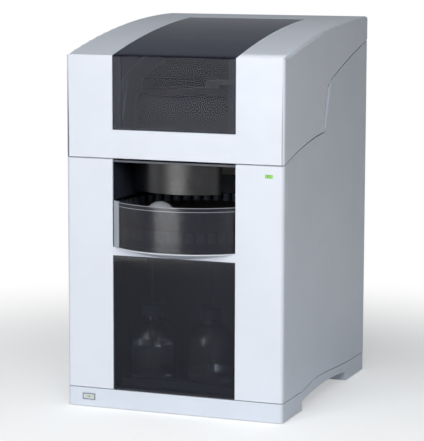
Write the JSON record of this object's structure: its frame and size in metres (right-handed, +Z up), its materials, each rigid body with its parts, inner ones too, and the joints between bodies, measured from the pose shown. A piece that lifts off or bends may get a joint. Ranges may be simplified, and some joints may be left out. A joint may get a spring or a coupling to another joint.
{
  "type": "capillary electrophoresis system",
  "caption": "Bench analyser with arched hinged hood, smoked windows, curved tray door over a rotating vial tray, lift-out capillary cassette and a bottle bay behind a lower door.",
  "frame": {"origin": "centre of the bounding box's floor, between the feet", "axes": "+X to the right seen from the front, +Y from the front to the rear, +Z up"},
  "size_m": [0.35, 0.4666, 0.59],
  "materials": {
    "casing_light": "satin moulded plastic",
    "casing_side": "satin moulded plastic",
    "rear_steel": "fine powder coat",
    "rubber_feet": "matte",
    "smoked_pane": "polished smoked acrylic",
    "inner_frame": "satin",
    "clear_grip": "polished",
    "dark_gloss": "polished",
    "sheet_steel": "brushed",
    "bay_plastic": "satin",
    "tray_plastic": "satin",
    "vial_body": "translucent moulding",
    "vial_cap": "matte",
    "clear_knob": "polished clear acrylic",
    "steel": "ground",
    "drive_black": "satin",
    "drive_metal": "as machined",
    "insulator": "satin",
    "housing_dark": "satin",
    "cassette_plastic": "satin",
    "bottle_clear": "clear moulding",
    "bottle_cap": "satin",
    "lamp_green": "polished lens",
    "button_clear": "polished",
    "board": "solder resist",
    "fitting_metal": "polished"
  },
  "bodies": {
    "cabinet": {"base_plinth": "casing_side", "foot_pads": "rubber_feet", "front_frame": "casing_light", "left_side_panel": "casing_side", "right_side_panel": "casing_side", "rear_panel": "rear_steel", "chassis": "sheet_steel", "upper_deck": "sheet_steel", "bay_floor": "bay_plastic", "bay_wall": "bay_plastic", "bay_shroud": "bay_plastic", "lift_shield": "dark_gloss", "hood_hinge_brackets": "sheet_steel", "hood_hinge_pins": "sheet_steel", "tray_bearing": "steel", "tray_motor": "drive_black", "lifter_guides": "drive_metal", "lifter_motors": "drive_black", "electrode_block": "insulator", "electrodes": "steel", "thermostat_housing": "housing_dark", "rear_housing": "housing_dark", "detector": "housing_dark", "lamp_housing": "drive_metal", "bottle_bay": "bay_plastic", "bottle_rack": "bay_plastic", "buffer_bottle": "bottle_clear", "waste_bottle": "bottle_clear", "bottle_caps": "bottle_cap", "bottle_tubes": "bottle_cap", "lower_door_pins": "sheet_steel", "power_switch": "drive_black", "status_lamp": "lamp_green", "power_supply": "drive_metal", "high_voltage_supply": "drive_metal", "main_board": "board", "pressure_pump": "drive_metal", "fan_housing": "drive_black", "mains_inlet": "drive_black", "connector_panel": "drive_black", "gas_inlet": "fitting_metal", "drain_outlet": "fitting_metal", "panel_screws": "sheet_steel"},
    "hood": {"hood_shell": "casing_light", "hood_window": "smoked_pane", "hood_window_frame": "inner_frame", "hood_hinge_leaves": "sheet_steel"},
    "tray_door": {"tray_door_pane": "smoked_pane", "tray_door_grip": "clear_grip"},
    "carousel": {"vial_tray": "tray_plastic", "vials": "vial_body", "vial_caps": "vial_cap", "tray_knob": "clear_knob", "tray_spindle": "steel"},
    "inlet_lifter": {"inlet_lifter": "steel"},
    "outlet_lifter": {"outlet_lifter": "steel"},
    "cassette": {"cassette": "cassette_plastic"},
    "lower_door": {"lower_door": "smoked_pane"},
    "power_button": {"power_button": "button_clear"},
    "fan_rotor": {"fan_rotor": "drive_black"}
  },
  "joints": [
    {"name": "hood_hinge", "type": "hinge", "parent": "cabinet", "child": "hood", "pos_m": [0, 0.21425, 0.557], "axis": [-1, 0, 0], "range_deg": [0, 65]},
    {"name": "tray_door_turn", "type": "hinge", "parent": "cabinet", "child": "tray_door", "pos_m": [0, -0.09175, 0.288], "axis": [0, 0, 1], "range_deg": [0, 75]},
    {"name": "carousel_spin", "type": "hinge", "parent": "cabinet", "child": "carousel", "pos_m": [0, -0.09175, 0.27], "axis": [0, 0, 1], "continuous": true},
    {"name": "inlet_lift", "type": "slide", "parent": "cabinet", "child": "inlet_lifter", "axis": [0, 0, 1], "range_m": [0, 0.008]},
    {"name": "outlet_lift", "type": "slide", "parent": "cabinet", "child": "outlet_lifter", "axis": [0, 0, 1], "range_m": [0, 0.008]},
    {"name": "cassette_lift", "type": "slide", "parent": "cabinet", "child": "cassette", "axis": [0, 0, 1], "range_m": [0, 0.04]},
    {"name": "lower_door_hinge", "type": "hinge", "parent": "cabinet", "child": "lower_door", "pos_m": [-0.0959, -0.19325, 0.1345], "axis": [0, 0, -1], "range_deg": [0, 95]},
    {"name": "power_button_press", "type": "slide", "parent": "cabinet", "child": "power_button", "axis": [0, 1, 0], "range_m": [0, 0.0025], "stiffness_N_per_m": 500},
    {"name": "fan_spin", "type": "hinge", "parent": "cabinet", "child": "fan_rotor", "pos_m": [0.085, 0.20725, 0.25], "axis": [0, 1, 0], "continuous": true}
  ]
}
